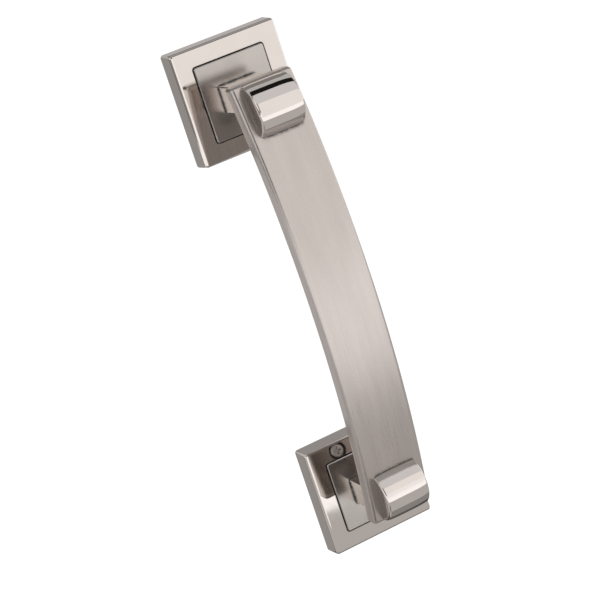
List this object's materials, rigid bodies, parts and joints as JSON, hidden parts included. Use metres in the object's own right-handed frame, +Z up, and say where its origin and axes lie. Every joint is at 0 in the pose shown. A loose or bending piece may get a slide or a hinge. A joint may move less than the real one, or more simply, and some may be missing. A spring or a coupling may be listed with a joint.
{
  "type": "door pull handle",
  "caption": "Bowed flat-bar pull handle on two square posts with square rose covers and half-round caps, fixed to a door from the front.",
  "frame": {"origin": "on the door's face, midway between the two fixing centres", "axes": "+X to the right of someone facing the door, +Y into the door, +Z up along the handle"},
  "size_m": [0.0546, 0.057, 0.2546],
  "materials": {
    "satin_nickel": "satin nickel brushed along the bar's length",
    "polished_nickel": "mirror-polished nickel plate",
    "plated_steel": "bright zinc plate"
  },
  "bodies": {
    "root": {"grip_bar": "satin_nickel", "upper_rose_cover": "polished_nickel", "upper_base_plate": "polished_nickel", "upper_post": "polished_nickel", "upper_cap": "polished_nickel", "lower_rose_cover": "polished_nickel", "lower_base_plate": "polished_nickel", "lower_post": "polished_nickel", "lower_cap": "polished_nickel", "post_bolts": "plated_steel", "washers": "plated_steel", "bar_screws": "plated_steel", "cap_screws": "plated_steel"}
  },
  "joints": []
}
